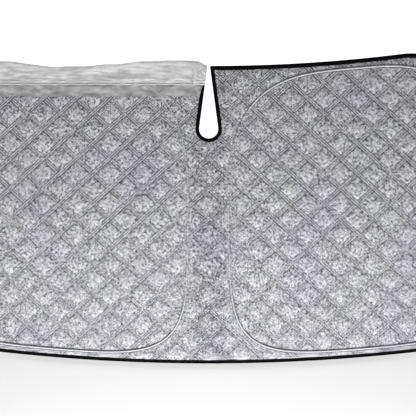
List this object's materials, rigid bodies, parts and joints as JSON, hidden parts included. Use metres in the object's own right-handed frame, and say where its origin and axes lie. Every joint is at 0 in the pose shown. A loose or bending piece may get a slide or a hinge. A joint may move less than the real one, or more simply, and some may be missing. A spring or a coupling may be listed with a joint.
{
  "type": "windshield sun shade",
  "caption": "Flat quilted foil sun shade for a car windscreen: wire-sprung sheet with taped edges, a drop-shaped mirror notch and a pale wrap on the top edge.",
  "frame": {"origin": "under the middle of the shade's plan, on the surface that it lies on", "axes": "+X along its length to the right, +Y towards the edge with the mirror notch, +Z out of the quilted face"},
  "size_m": [1.588, 0.791, 0.007],
  "materials": {
    "quilted_foil": "satin metallised foil, quilted",
    "lining_cloth": "matte woven",
    "spring_steel": "bright drawn wire",
    "black_tape": "matte woven tape",
    "pale_cloth": "soft satin cloth"
  },
  "bodies": {
    "root": {"front_quilt": "quilted_foil", "back_cloth": "lining_cloth", "left_ring": "spring_steel", "right_ring": "spring_steel", "outer_binding": "black_tape", "notch_binding": "black_tape", "top_edge_wrap": "pale_cloth"}
  },
  "joints": []
}
